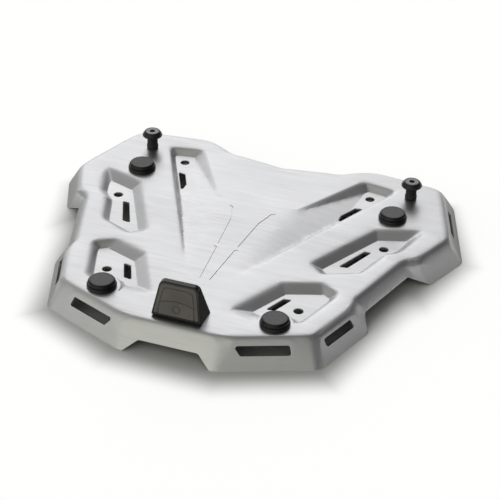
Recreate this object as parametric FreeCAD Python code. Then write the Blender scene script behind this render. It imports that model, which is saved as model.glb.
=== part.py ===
import FreeCAD, Part
import math
import os

V = FreeCAD.Vector

# Pressed aluminium plate. Plan sizes are measured from the line through the two
# lock studs, the front (catch end) towards -Y, and heights from the top face.
SHEET = 3.0
DEPTH = 25.5
TOP_EDGE_R = 9.0
STUD_LINE_Y = 124.1
# Length of the blocks that trim a form, longer than the plate.
REACH = 900.0

# Half of the top face's outline from the front to the back. Each corner has its
# plan position, the lean of the skirt along the edge that leaves it, and its radius.
HALF_OUTLINE = [
    (46.0, -281.5, 15.5, 26.0),
    (118.4, -251.5, 13.5, 16.0),
    (137.0, -198.5, 16.0, 13.0),
    (135.0, -185.5, 15.0, 12.0),
    (157.5, -112.0, 8.0, 9.0),
    (170.0, -103.5, 12.5, 10.5),
    (188.5, -58.5, 14.0, 16.0),
    (159.5, 28.5, 13.5, 16.0),
    (86.0, 37.5, 13.0, 18.0),
    (56.0, 20.5, 14.0, 30.0),
]
BACK_MIDDLE = (0.0, 11.5, 40.0)
FRONT_LEAN = 17.5

# Recesses for the bolts. The middle and front ones are given by the corners of their
# floor, anticlockwise, each with the run of the wall that leaves it for each mm of drop.
RECESS_DEPTH = 6.0
FLOOR_R = 2.5
MOUTH_R = 10.0
CORNER_R = 6.0
MIDDLE_FLOOR = [
    ((123.6, -137.0), 0.75),
    ((146.3, -69.1), 2.0),
    ((124.0, -77.0), 1.6),
    ((90.0, -143.0), 1.5),
    ((97.0, -149.0), 1.0),
]
# The middle recess steps out round its bolt: the near wall of that lobe, and how far
# the lobe runs past the outer end of the floor's far edge and back along it.
LOBE_NEAR = [(128.0, -108.9), (146.0, -90.9)]
LOBE_RUN = 0.9
LOBE_PAST = 7.3
LOBE_BACK = 17.0
FRONT_FLOOR = [
    ((97.5, -231.0), 0.75),
    ((113.0, -185.0), 1.0),
    ((105.0, -180.5), 2.0),
    ((72.5, -192.5), 1.9),
    ((54.0, -229.0), 3.0),
    ((80.0, -238.0), 0.75),
]
# The back recess is given by the top lines of its walls, with it on their left.
BACK_WALLS = [
    ((23.0, -193.0), (116.0, 0.0), 0.75),
    ((119.0, 9.0), (86.0, 14.5), 1.2),
    ((84.0, 14.0), (36.0, -71.0), 1.7),
]
# The back recess runs out into a gently sloping fan: a line where it meets the top
# face, and its fall for each mm across and along.
FAN_START = (36.0, -71.0)
FAN_FALL = (-0.135, 0.0155)
BACK_CORNER_R = 5.0
BACK_FLOOR_R = 2.0
MOUTH_DROP = 1.5
MOUTH_LIFT = 0.004

# Bolt holes and the long cut-outs beside them.
BOLT_HOLE_R = 4.25
BOLT_HOLES = [(96.7, -7.5), (133.8, -89.4), (91.3, -213.0)]
FLOOR_SLOTS = [
    [(95.4, -27.4), (88.0, -29.1), (79.5, -47.8), (79.7, -60.6)],
    [(124.7, -98.8), (118.3, -99.3), (103.4, -132.4), (111.1, -131.2)],
    [(80.6, -198.5), (73.3, -200.0), (64.0, -220.9), (71.6, -219.5)],
]
FLOOR_SLOT_R = 1.2

# Cut-outs in the skirt: the outline edge they sit on, then corners along that edge
# and down its slope.
SKIRT_SLOTS = [
    (0, [(9.0, 7.6), (57.0, 7.6), (58.5, 16.4), (14.5, 16.4)]),
    (1, [(9.0, 7.0), (47.0, 7.0), (49.5, 15.0), (9.5, 15.0)]),
    (6, [(20.0, 7.0), (63.0, 7.0), (65.0, 15.0), (20.5, 15.0)]),
]
SKIRT_SLOT_R = 2.2

# Notches up from the rim, in plan along their side and height above the rim.
NOTCH_R = 5.0
RIM_OVERRUN = 0.3
NOTCH_START_X = 110.0
SIDE_NOTCH = [(-199.0, 0.0), (-193.5, 6.0), (-182.5, 12.5), (-115.0, 12.5), (-101.5, 0.0)]
FRONT_NOTCH = [(-40.5, 0.0), (-27.5, 10.5), (27.5, 10.5), (40.5, 0.0)]

# Fine pressed strokes down the middle, right-hand side, each from back to front.
LINE_STROKES = [
    [(22.8, -77.0), (19.5, -79.0), (13.7, -98.4), (9.7, -144.0)],
    [(11.5, -149.5), (8.8, -150.5), (4.7, -203.6)],
]
LINE_WIDTH = 0.9
LINE_DEPTH = 0.5

# Rubber pads pushed into the plate by a barbed stem. The front ones stand on a round
# seat beside their recess.
BACK_PAD = (128.6, -42.5)
FRONT_PAD = (81.0, -247.0)
PAD_R = 13.5
PAD_HEIGHT = 6.8
PAD_SHOULDER = 1.6
PAD_GROOVE_Z = 3.2
PAD_GROOVE = 0.5
SEAT_MARGIN = 3.5
SEAT_RUN = 0.75
SEAT_EDGE_R = 2.5
STEM_HOLE_R = 4.0
STEM_PLAY = 0.1
STEM_LENGTH = 6.0
STEM_TIP_R = 2.7
BARB_R = 5.6
BARB_T = 1.2

# Mushroom lock studs, each held by a countersunk screw, washer and nut.
STUD_X = 135.0
STUD_HEIGHT = 18.6
STUD_HEAD_R = 9.9
STUD_HEAD_T = 6.4
STUD_HEAD_TOP_R = 7.4
STUD_HEAD_EDGE = 1.6
STUD_HEAD_CONE = 3.8
STUD_NECK_R = 5.3
STUD_FOOT_R = 5.8
STUD_FOOT_T = 3.4
STUD_FOOT_BEVEL = 1.0
STUD_SOFTENING = 0.8
SCREW_R = 4.0
SCREW_PLAY = 0.2
SCREW_HEAD_R = 6.6
SCREW_PROUD = 3.0
SCREW_TIP = 0.9
SOCKET_AF = 5.0
SOCKET_DEPTH = 4.5
WASHER_R = 8.0
WASHER_T = 1.6
NUT_AF = 13.0
NUT_HEIGHT = 6.5
NUT_BEVEL = 0.6
THREAD_PLAY = 0.05

# Catch block at the front edge, screwed on from below.
CATCH_FOOT = (-270.0, -251.0)
CATCH_HEEL = 2.5
CATCH_LIP = -273.5
CATCH_LIP_LOW = 2.4
CATCH_LIP_TOP = 3.6
CATCH_LIP_DROP = 1.6
CATCH_TOP = (-266.5, -260.5)
CATCH_HEIGHT = 33.0
CATCH_HALF_LOW = 23.3
CATCH_HALF_TOP = 17.4
CATCH_CORNER_R = 5.0
CATCH_EDGE_R = 1.2
PANEL_T = 1.6
PANEL_SUNK = 1.3
PANEL_MARGIN = 1.7
PANEL_FOOT = 0.6
PANEL_R = 4.5
PANEL_FOOT_R = 1.0
PANEL_PLAY = 0.1
CONTOUR_MARGIN = 4.6
ARCH_HALF = 16.5
ARCH_SPRING = 11.5
ARCH_RISE = 3.0
ARCH_LINE = 0.8
BUTTON_R = 3.4
BUTTON_LEVEL = 0.6
MARK_DEPTH = 0.5
CATCH_SCREW_X = 12.0
CATCH_SCREW_Y = -259.0
CATCH_SCREW_R = 2.5
CATCH_SCREW_LENGTH = 16.0
CATCH_HOLE_PLAY = 0.25
CATCH_HEAD_R = 4.6
CATCH_HEAD_T = 3.4
CATCH_HEAD_BEVEL = 1.2
CATCH_SCREW_TIP = 0.8
CATCH_SOCKET_DEPTH = 2.2
CATCH_WASHER_R = 6.0
CATCH_WASHER_T = 1.2
CATCH_SOCKET_AF = 3.0


def mirrored(shape):
    """The same shape on the other side of the middle plane."""
    return shape.mirror(V(0, 0, 0), V(1, 0, 0))


def both_sides(shape):
    """A shape and its mirror image."""
    return [shape, mirrored(shape)]


def direction(start, end):
    """Unit direction in plan from one point to another."""
    length = math.hypot(end[0] - start[0], end[1] - start[1])
    return (end[0] - start[0]) / length, (end[1] - start[1]) / length


def full_outline():
    """Corners, edge leans and corner radii of the whole outline, anticlockwise."""
    corners = [(x, y) for x, y, lean, radius in HALF_OUTLINE]
    leans = [lean for x, y, lean, radius in HALF_OUTLINE]
    radii = [radius for x, y, lean, radius in HALF_OUTLINE]
    left = [(-x, y) for x, y in reversed(corners)]
    return (corners + [BACK_MIDDLE[:2]] + left,
            leans + list(reversed(leans)) + [FRONT_LEAN],
            radii + [BACK_MIDDLE[2]] + list(reversed(radii)))


def ring(z, inset):
    """Corners of the plate's outer form at a height, each wall moved in by the inset."""
    corners, leans, radii = full_outline()
    count = len(corners)
    lines = []
    for i in range(count):
        dx, dy = direction(corners[i], corners[(i + 1) % count])
        slope = math.atan2(leans[i], DEPTH)
        out = -z * math.tan(slope) - inset / math.cos(slope)
        lines.append((corners[i][0] + dy * out, corners[i][1] - dx * out, dx, dy))
    points = []
    for i in range(count):
        x1, y1, a1, b1 = lines[i - 1]
        x2, y2, a2, b2 = lines[i]
        step = ((x2 - x1) * b2 - (y2 - y1) * a2) / (a1 * b2 - b1 * a2)
        points.append(V(x1 + a1 * step, y1 + b1 * step, z))
    return points


def turns_out(i):
    """True where the outline bulges at a corner, False where it dips."""
    corners = full_outline()[0]
    before = direction(corners[i - 1], corners[i])
    after = direction(corners[i], corners[(i + 1) % len(corners)])
    return before[0] * after[1] - before[1] * after[0] > 0


def edge_joining(shape, start, end):
    """The straight edge of a shape between two points."""
    for edge in shape.Edges:
        ends = [vertex.Point for vertex in edge.Vertexes]
        if len(ends) == 2 and min(ends[0].distanceToPoint(start), ends[1].distanceToPoint(start)) < 1e-4:
            if min(ends[0].distanceToPoint(end), ends[1].distanceToPoint(end)) < 1e-4:
                return edge
    return None


def level_edges(shape, z):
    """Edges of a shape that lie flat at one height."""
    flat = []
    for edge in shape.Edges:
        heights = [vertex.Point.z for vertex in edge.Vertexes] + [edge.CenterOfMass.z]
        if all(abs(height - z) < 1e-4 for height in heights):
            flat.append(edge)
    return flat


def flat_face(points):
    """Flat face inside a closed polygon."""
    return Part.Face(Part.makePolygon(points + points[:1]))


def dish(inset, low):
    """Upturned dish with rounded corners and top edge, every face moved in by the inset."""
    bottom = ring(low, inset)
    top = ring(-inset, inset)
    count = len(top)
    faces = [flat_face(list(reversed(bottom))), flat_face(top)]
    for i in range(count):
        j = (i + 1) % count
        faces.append(flat_face([bottom[i], bottom[j], top[j], top[i]]))
    shape = Part.Solid(Part.Shell(faces))
    radii = full_outline()[2]
    for i in range(count):
        radius = radii[i] - inset if turns_out(i) else radii[i] + inset
        shape = shape.makeFillet(radius, [edge_joining(shape, bottom[i], top[i])])
    return shape.makeFillet(TOP_EDGE_R - inset, level_edges(shape, -inset))


def beyond(point, normal):
    """A large block filling the space past a plane."""
    block = Part.makeBox(REACH, REACH, REACH, V(-REACH / 2, -REACH / 2, 0))
    block.Placement = FreeCAD.Placement(point, FreeCAD.Rotation(V(0, 0, 1), normal))
    return block


def floor_planes(fan):
    """Point and downward normal of each floor of a recess."""
    planes = [(V(0, 0, -RECESS_DEPTH), V(0, 0, -1))]
    if fan:
        planes.append((V(FAN_START[0], FAN_START[1], 0), V(FAN_FALL[0], FAN_FALL[1], -1).normalize()))
    return planes


def recess_space():
    """Block on the right-hand side that a recess is trimmed from."""
    return Part.makeBox(REACH, REACH, 3 * DEPTH, V(-DEPTH, -REACH / 2, -2 * DEPTH))


def walls_round(floor):
    """Top lines and runs of the walls that rise from the edges of a floor."""
    walls = []
    for i in range(len(floor)):
        start, run = floor[i]
        end = floor[(i + 1) % len(floor)][0]
        dx, dy = direction(start, end)
        shift_x, shift_y = dy * run * RECESS_DEPTH, -dx * run * RECESS_DEPTH
        walls.append(((start[0] + shift_x, start[1] + shift_y), (end[0] + shift_x, end[1] + shift_y), run))
    return walls


def sharp_recess(walls, fan, inset):
    """Space inside a recess with plain walls and floor, each face moved out by the inset."""
    space = recess_space()
    for point, normal in floor_planes(fan):
        space = space.cut(beyond(point + normal * inset, normal))
    for start, end, run in walls:
        dx, dy = direction(start, end)
        normal = V(dy, -dx, -run).normalize()
        space = space.cut(beyond(V(start[0], start[1], 0) + normal * inset, normal))
    return space


def lobe_floor():
    """Corners of the floor of the lobe round the middle bolt, with the runs of its walls."""
    outer, far_run = MIDDLE_FLOOR[1]
    dx, dy = direction(outer, MIDDLE_FLOOR[2][0])
    corners = [(corner, LOBE_RUN) for corner in LOBE_NEAR]
    corners.append(((outer[0] - dx * LOBE_PAST, outer[1] - dy * LOBE_PAST), far_run))
    corners.append(((outer[0] + dx * LOBE_BACK, outer[1] + dy * LOBE_BACK), LOBE_RUN))
    return corners


def soft_recess(floors, inset):
    """Space inside a closed recess of one or more joined floors, its corners and floor edge rounded."""
    space = sharp_recess(walls_round(floors[0]), False, inset)
    for floor in floors[1:]:
        space = space.fuse(sharp_recess(walls_round(floor), False, inset)).removeSplitter()
    low = -RECESS_DEPTH - inset
    corners = []
    for edge in space.Edges:
        heights = sorted(vertex.Point.z for vertex in edge.Vertexes)
        if abs(heights[0] - low) < 1e-4 and heights[-1] > low + 1:
            corners.append(edge)
    space = space.makeFillet(CORNER_R + inset, corners)
    return space.makeFillet(FLOOR_R + inset, level_edges(space, low))


def above_wall(start, end, run):
    """Everything on the recess's side of one wall whose mouth rolls over into the top face."""
    dx, dy = direction(start, end)
    slope = math.atan2(1, run)
    radius = (MOUTH_DROP + MOUTH_LIFT) / (1 - math.cos(slope))
    reach = radius * math.tan(slope / 2)
    edge = -MOUTH_LIFT * run
    deep = 2 * DEPTH
    wide = REACH / 2

    def at(across, z):
        return V(start[0] - dy * across, start[1] + dx * across, z)

    half = slope / 2
    outer = at(edge - reach, MOUTH_LIFT)
    inner = at(edge + reach * math.cos(slope), MOUTH_LIFT - reach * math.sin(slope))
    middle = at(edge - reach + radius * math.sin(half), MOUTH_LIFT - radius * (1 - math.cos(half)))
    corners = [inner, at(edge + run * deep, MOUTH_LIFT - deep), at(wide, MOUTH_LIFT - deep),
               at(wide, deep), at(edge - reach, deep), outer]
    sides = [Part.makeLine(a, b) for a, b in zip(corners, corners[1:])]
    face = Part.Face(Part.Wire([Part.Arc(outer, middle, inner).toShape()] + sides))
    along = V(dx, dy, 0)
    face.translate(along * -wide)
    return face.extrude(along * 3 * wide)


def fanned_recess():
    """Space inside the back recess, whose floor slopes up and fans out to the front."""
    space = recess_space()
    for point, normal in floor_planes(True):
        space = space.cut(beyond(point, normal))
    for wall in BACK_WALLS:
        space = space.common(above_wall(*wall))
    corners = []
    for edge in space.Edges:
        ends = [vertex.Point for vertex in edge.Vertexes]
        climbs = abs(ends[0].z - ends[-1].z) > 0.3 and max(p.z for p in ends) < 0.1
        if climbs and min(p.y for p in ends) > 0:
            corners.append(edge)
    space = space.makeFillet(BACK_CORNER_R, corners)
    return space.makeFillet(BACK_FLOOR_R, level_edges(space, -RECESS_DEPTH))


def mouth_edges(shape, floor, z):
    """Edges where a closed recess and its mirror image break through the top face."""
    ys = [corner[1] for corner, run in floor]
    spans = [(face, face.BoundBox) for face in shape.Faces]
    level = [face for face, box in spans if max(abs(box.ZMin - z), abs(box.ZMax - z)) < 1e-4]
    top = max(level, key=lambda face: face.Area)
    found = []
    for wire in top.Wires:
        if not wire.isSame(top.OuterWire) and min(ys) < wire.BoundBox.Center.y < max(ys):
            found += wire.Edges
    return found


def pad_seat(inset):
    """Round boss beside the front recess that carries a pad, its faces moved in by the inset."""
    slant = math.hypot(1, SEAT_RUN)
    top = PAD_R + SEAT_MARGIN - (slant - SEAT_RUN) * inset
    drop = RECESS_DEPTH + SHEET / 2
    foot = top + SEAT_RUN * drop
    boss = Part.makeCone(foot, top, drop, V(FRONT_PAD[0], FRONT_PAD[1], -drop - inset))
    return boss.makeFillet(SEAT_EDGE_R - inset / 2, level_edges(boss, -inset))


def with_closed_recesses(form, inset):
    """A dish with the middle and front recesses pressed into it."""
    for floors in ([MIDDLE_FLOOR, lobe_floor()], [FRONT_FLOOR]):
        form = form.cut(both_sides(soft_recess(floors, inset)))
        form = form.makeFillet(MOUTH_R - inset, mouth_edges(form, floors[0], -inset))
    return form.fuse(both_sides(pad_seat(inset))).removeSplitter()


def rounded_polygon(points, radii):
    """Closed wire through points with the corners rounded where a radius is given."""
    pieces = []
    count = len(points)
    ends = []
    for i in range(count):
        here = points[i]
        back = (points[i - 1] - here).normalize()
        ahead = (points[(i + 1) % count] - here).normalize()
        if radii[i] == 0:
            ends.append((here, here))
            continue
        half = back.getAngle(ahead) / 2
        reach = radii[i] / math.tan(half)
        bisector = (back + ahead).normalize()
        crown = here + bisector * (radii[i] / math.sin(half) - radii[i])
        start, end = here + back * reach, here + ahead * reach
        pieces.append(Part.Arc(start, crown, end).toShape())
        ends.append((start, end))
    for i in range(count):
        start, end = ends[i][1], ends[(i + 1) % count][0]
        if start.distanceToPoint(end) > 1e-6:
            pieces.append(Part.makeLine(start, end))
    return Part.Wire(Part.__sortEdges__(pieces))


def rounded_prism(points, radius, sweep):
    """Prism on a polygon with equally rounded corners."""
    return Part.Face(rounded_polygon(points, [radius] * len(points))).extrude(sweep)


def floor_cutouts():
    """Round bolt holes and long slots through the recess floors, right-hand side."""
    cuts = [Part.makeCylinder(BOLT_HOLE_R, 2 * DEPTH, V(x, y, -DEPTH)) for x, y in BOLT_HOLES]
    for corners in FLOOR_SLOTS:
        points = [V(x, y, -DEPTH) for x, y in corners]
        cuts.append(rounded_prism(points, FLOOR_SLOT_R, V(0, 0, 2 * DEPTH)))
    return cuts


def skirt_cutouts():
    """Long slots through the sloping skirt, right-hand side."""
    corners, leans, radii = full_outline()
    cuts = []
    for i, shape in SKIRT_SLOTS:
        dx, dy = direction(corners[i], corners[i + 1])
        slope = math.atan2(leans[i], DEPTH)
        along = V(dx, dy, 0)
        down = V(dy * math.sin(slope), -dx * math.sin(slope), -math.cos(slope))
        outward = along.cross(down) * -1
        origin = V(corners[i][0], corners[i][1], 0) - outward * 4 * SHEET
        points = [origin + along * u + down * v for u, v in shape]
        cuts.append(rounded_prism(points, SKIRT_SLOT_R, outward * 8 * SHEET))
    return cuts


def notch(profile, place, sweep):
    """Cutter for a notch in the rim, its sides rolling smoothly into the rim."""
    low = -DEPTH - RIM_OVERRUN
    run_out = 4 * NOTCH_R
    first, last = profile[0], profile[-1]
    points = [place(first[0] - run_out, low - NOTCH_R), place(first[0] - run_out, low)]
    points += [place(along, low + height) for along, height in profile]
    points += [place(last[0] + run_out, low), place(last[0] + run_out, low - NOTCH_R)]
    radii = [0, 0] + [NOTCH_R] * len(profile) + [0, 0]
    return Part.Face(rounded_polygon(points, radii)).extrude(sweep)


def rim_notches():
    """The front notch and the two side notches."""
    front_y = HALF_OUTLINE[0][1]
    front = notch(FRONT_NOTCH, lambda x, z: V(x, front_y - 2 * DEPTH, z), V(0, 3 * DEPTH, 0))
    side = notch(SIDE_NOTCH, lambda y, z: V(NOTCH_START_X, y, z), V(REACH, 0, 0))
    return [front] + both_sides(side)


def pressed_stroke(path):
    """Shallow groove along a path."""
    strips = []
    for start, end in zip(path, path[1:]):
        dx, dy = direction(start, end)
        length = math.hypot(end[0] - start[0], end[1] - start[1])
        strip = Part.makeBox(length + LINE_WIDTH, LINE_WIDTH, 4 * LINE_DEPTH,
                             V(-LINE_WIDTH / 2, -LINE_WIDTH / 2, -LINE_DEPTH))
        turn = FreeCAD.Rotation(V(0, 0, 1), math.degrees(math.atan2(dy, dx)))
        strip.Placement = FreeCAD.Placement(V(start[0], start[1], 0), turn)
        strips.append(strip)
    return strips[0].multiFuse(strips[1:])


def fixing_holes():
    """Holes for the pads' stems, the stud screws and the catch screws, right-hand side."""
    holes = [BACK_PAD + (STEM_HOLE_R,), FRONT_PAD + (STEM_HOLE_R,), (STUD_X, 0.0, SCREW_R + SCREW_PLAY),
             (CATCH_SCREW_X, CATCH_SCREW_Y, CATCH_SCREW_R + CATCH_HOLE_PLAY)]
    return [Part.makeCylinder(radius, 4 * SHEET, V(x, y, -2 * SHEET)) for x, y, radius in holes]


def plate():
    """The pressed plate: outer form less inner form, then every hole and cut-out."""
    outer = with_closed_recesses(dish(0.0, -DEPTH), 0.0).cut(both_sides(fanned_recess()))
    inner = with_closed_recesses(dish(SHEET, -DEPTH - 2 * SHEET), SHEET)
    inner = inner.cut(both_sides(sharp_recess(BACK_WALLS, True, SHEET)))
    cuts = rim_notches()
    strokes = [pressed_stroke(path) for path in LINE_STROKES]
    for cut in fixing_holes() + floor_cutouts() + skirt_cutouts() + strokes:
        cuts += both_sides(cut)
    return outer.cut(inner).cut(cuts)


def turned(profile, x, y):
    """Solid of revolution from radii and heights, standing at a plan position."""
    solid = flat_face([V(radius, 0, z) for radius, z in profile]).revolve(V(0, 0, 0), V(0, 0, 1), 360)
    solid.translate(V(x, y, 0))
    return solid


def pad(x, y):
    """Round rubber pad with a bevelled top, a groove round its rim and a barbed stem."""
    stem = STEM_HOLE_R - STEM_PLAY
    under = -SHEET - STEM_PLAY
    upper = PAD_R - PAD_GROOVE
    groove = PAD_GROOVE_Z
    return turned([
        (0, PAD_HEIGHT), (upper - PAD_SHOULDER, PAD_HEIGHT), (upper, PAD_HEIGHT - PAD_SHOULDER),
        (upper, groove + PAD_GROOVE), (upper - PAD_GROOVE, groove), (PAD_R, groove - PAD_GROOVE),
        (PAD_R, 0), (stem, 0), (stem, under), (BARB_R, under), (BARB_R, under - BARB_T),
        (STEM_TIP_R, under - STEM_LENGTH), (0, under - STEM_LENGTH)], x, y)


def hexagon(flats, x, y, z, height):
    """Hexagonal prism by its size across flats."""
    radius = flats / math.sqrt(3)
    turns = [math.radians(60 * i) for i in range(6)]
    points = [V(x + radius * math.cos(turn), y + radius * math.sin(turn), z) for turn in turns]
    return flat_face(points).extrude(V(0, 0, height))


def lock_stud(x):
    """Mushroom stud with a waisted neck and a countersunk bore."""
    bore = SCREW_R + SCREW_PLAY
    sink = SCREW_HEAD_R + SCREW_PLAY
    top = STUD_HEIGHT
    brim = top - STUD_HEAD_CONE
    under = top - STUD_HEAD_T
    soft = STUD_SOFTENING
    return turned([
        (bore, 0), (STUD_FOOT_R - STUD_FOOT_BEVEL, 0), (STUD_FOOT_R, STUD_FOOT_BEVEL),
        (STUD_FOOT_R, STUD_FOOT_T), (STUD_NECK_R, STUD_FOOT_T + soft), (STUD_NECK_R, under - soft),
        (STUD_NECK_R + soft, under), (STUD_HEAD_R - soft, brim - STUD_HEAD_EDGE),
        (STUD_HEAD_R, brim - STUD_HEAD_EDGE + soft), (STUD_HEAD_R, brim),
        (STUD_HEAD_TOP_R, top), (sink, top), (bore, top - sink + bore)], x, 0.0)


def stud_screw(x):
    """Countersunk socket screw through the stud and the plate."""
    top = STUD_HEIGHT
    head = SCREW_HEAD_R
    low = -SHEET - WASHER_T - NUT_HEIGHT - SCREW_PROUD
    solid = turned([
        (0, top), (head - SCREW_PLAY, top), (head, top - SCREW_PLAY),
        (SCREW_R, top - head + SCREW_R - SCREW_PLAY), (SCREW_R, low + SCREW_TIP),
        (SCREW_R - SCREW_TIP, low), (0, low)], x, 0.0)
    return solid.cut(hexagon(SOCKET_AF, x, 0.0, top - SOCKET_DEPTH, 2 * SOCKET_DEPTH))


def plain_washer(x, y, radius, bore, thickness):
    """Flat washer against the underside of the plate."""
    low = -SHEET - thickness
    return turned([(bore, low), (radius, low), (radius, -SHEET), (bore, -SHEET)], x, y)


def stud_nut(x):
    """Hexagon nut with bevelled corners under the stud's washer."""
    low = -SHEET - WASHER_T - NUT_HEIGHT
    top = low + NUT_HEIGHT
    wide = NUT_AF / math.sqrt(3)
    nut = hexagon(NUT_AF, x, 0.0, low, NUT_HEIGHT)
    bevel = turned([(0, low), (wide - 2 * NUT_BEVEL, low), (wide, low + NUT_BEVEL),
                    (wide, top - NUT_BEVEL), (wide - 2 * NUT_BEVEL, top), (0, top)], x, 0.0)
    bore = Part.makeCylinder(SCREW_R + THREAD_PLAY, 3 * NUT_HEIGHT, V(x, 0, low - NUT_HEIGHT))
    return nut.common(bevel).cut(bore)


def catch_front():
    """Point, right, up and outward directions of the catch's sloping front face."""
    low = V(0, CATCH_LIP, CATCH_LIP_TOP)
    up = V(0, CATCH_TOP[0] - CATCH_LIP, CATCH_HEIGHT - CATCH_LIP_TOP)
    height = up.Length
    up = up.normalize()
    return low, V(1, 0, 0), up, V(1, 0, 0).cross(up), height


def catch_half_width(z):
    """Half width of the catch at a height."""
    return CATCH_HALF_LOW + (CATCH_HALF_TOP - CATCH_HALF_LOW) * z / CATCH_HEIGHT


def front_plate(margin, foot, sunk, thickness, radius):
    """Four-sided plate on the front face of the catch, narrower at the top with round top corners."""
    low, across, up, outward, height = catch_front()
    corners = []
    for side, level in ((-1, foot), (1, foot), (1, height - margin), (-1, height - margin)):
        half = catch_half_width((low + up * level).z) - margin
        corners.append(low + across * (side * half) + up * level - outward * sunk)
    radii = [PANEL_FOOT_R, PANEL_FOOT_R, radius, radius]
    return Part.Face(rounded_polygon(corners, radii)).extrude(outward * thickness)


def top_edges(block, across):
    """Top edges of the catch block, either those across its width or those at its sides."""
    found = []
    for edge in level_edges(block, CATCH_HEIGHT):
        span = edge.BoundBox
        if (span.XLength > span.YLength) == across:
            found.append(edge)
    return found


def catch_body():
    """Wedge-shaped block with an undercut lip along its front and a sunk front face."""
    front, back = CATCH_FOOT
    profile = [(front, 0), (back, 0), (back, CATCH_HEEL), (CATCH_TOP[1], CATCH_HEIGHT),
               (CATCH_TOP[0], CATCH_HEIGHT), (CATCH_LIP, CATCH_LIP_TOP), (CATCH_LIP, CATCH_LIP_LOW),
               (front, CATCH_LIP_LOW - CATCH_LIP_DROP)]
    points = [V(-2 * CATCH_HALF_LOW, y, z) for y, z in profile]
    block = flat_face(points).extrude(V(4 * CATCH_HALF_LOW, 0, 0))
    side = V(CATCH_HEIGHT, 0, CATCH_HALF_LOW - CATCH_HALF_TOP).normalize()
    for flank in both_sides(beyond(V(CATCH_HALF_LOW, 0, 0), side)):
        block = block.cut(flank)
    block = block.makeFillet(CATCH_CORNER_R, top_edges(block, False))
    block = block.makeFillet(CATCH_EDGE_R, top_edges(block, True))
    margin, foot = PANEL_MARGIN - PANEL_PLAY, PANEL_FOOT - PANEL_PLAY
    sunk_face = front_plate(margin, foot, PANEL_SUNK, 2 * PANEL_T, PANEL_R)
    holes = [Part.makeCylinder(CATCH_SCREW_R, CATCH_SCREW_LENGTH, V(s * CATCH_SCREW_X, CATCH_SCREW_Y, 0))
             for s in (-1, 1)]
    return block.cut([sunk_face] + holes)


def catch_panel():
    """Front panel with a contour line, an arched line and a round mark pressed into it."""
    low, across, up, outward, height = catch_front()
    panel = front_plate(PANEL_MARGIN, PANEL_FOOT, PANEL_SUNK, PANEL_T, PANEL_R)
    face = low + outward * (PANEL_T - PANEL_SUNK - MARK_DEPTH)
    sunk = PANEL_SUNK + MARK_DEPTH - PANEL_T

    def arch(half, crown):
        spring = crown - ARCH_RISE
        left, right = face - across * half, face + across * half
        wire = Part.Wire([
            Part.makeLine(left, left + up * spring),
            Part.Arc(left + up * spring, face + up * crown, right + up * spring).toShape(),
            Part.makeLine(right + up * spring, right), Part.makeLine(right, left)])
        return Part.Face(wire).extrude(outward * 2 * MARK_DEPTH)

    def contour(margin):
        return front_plate(margin, 0, sunk, 2 * MARK_DEPTH, PANEL_R)

    crown = ARCH_SPRING + ARCH_RISE
    inner_line = CONTOUR_MARGIN + ARCH_LINE
    lines = [contour(CONTOUR_MARGIN).cut(contour(inner_line)),
             arch(ARCH_HALF, crown).cut(arch(ARCH_HALF - ARCH_LINE, crown - ARCH_LINE))]
    centre = face + up * (ARCH_SPRING * BUTTON_LEVEL)
    ring_mark = Part.makeCylinder(BUTTON_R, 2 * MARK_DEPTH, centre, outward)
    lines.append(ring_mark.cut(Part.makeCylinder(BUTTON_R - ARCH_LINE, 2 * MARK_DEPTH, centre, outward)))
    return panel.cut(lines)


def catch_screw(x):
    """Round-headed socket screw up into the catch from under the plate."""
    seat = -SHEET - CATCH_WASHER_T
    low = seat - CATCH_HEAD_T
    tip = seat + CATCH_SCREW_LENGTH
    thread = CATCH_SCREW_R - THREAD_PLAY
    solid = turned([
        (0, low), (CATCH_HEAD_R - CATCH_HEAD_BEVEL, low), (CATCH_HEAD_R, low + CATCH_HEAD_BEVEL),
        (CATCH_HEAD_R, seat), (thread, seat), (thread, tip - CATCH_SCREW_TIP),
        (thread - CATCH_SCREW_TIP, tip), (0, tip)], x, CATCH_SCREW_Y)
    socket_low = low - CATCH_SOCKET_DEPTH
    return solid.cut(hexagon(CATCH_SOCKET_AF, x, CATCH_SCREW_Y, socket_low, 2 * CATCH_SOCKET_DEPTH))


def group(solids):
    """Separate like pieces kept together under one name."""
    return Part.makeCompound(solids)


def nodes():
    """Every piece by name."""
    pieces = {"plate": plate()}
    sides = {"left": -1, "right": 1}
    for side, sign in sides.items():
        pieces["pad_back_" + side] = pad(sign * BACK_PAD[0], BACK_PAD[1])
        pieces["pad_front_" + side] = pad(sign * FRONT_PAD[0], FRONT_PAD[1])
        pieces["stud_" + side] = lock_stud(sign * STUD_X)
    studs = [sign * STUD_X for sign in sides.values()]
    bore = SCREW_R + SCREW_PLAY
    pieces["stud_screws"] = group([stud_screw(x) for x in studs])
    pieces["stud_washers"] = group([plain_washer(x, 0.0, WASHER_R, bore, WASHER_T) for x in studs])
    pieces["stud_nuts"] = group([stud_nut(x) for x in studs])
    pieces["catch_body"] = catch_body()
    pieces["catch_panel"] = catch_panel()
    screws = [sign * CATCH_SCREW_X for sign in sides.values()]
    bore = CATCH_SCREW_R + CATCH_HOLE_PLAY
    pieces["catch_screws"] = group([catch_screw(x) for x in screws])
    pieces["catch_washers"] = group([plain_washer(x, CATCH_SCREW_Y, CATCH_WASHER_R, bore, CATCH_WASHER_T)
                                     for x in screws])
    return pieces


os.makedirs("parts", exist_ok=True)
for name, shape in nodes().items():
    shape.translate(V(0, STUD_LINE_Y, DEPTH))
    shape.exportStep("parts/" + name + ".step")
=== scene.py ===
import logging
import math
from dataclasses import dataclass
from enum import Enum
from typing import Callable, Dict, List, Sequence, Set, Tuple, Union

import bpy
from mathutils import Matrix, Vector
from mathutils.kdtree import KDTree


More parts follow.
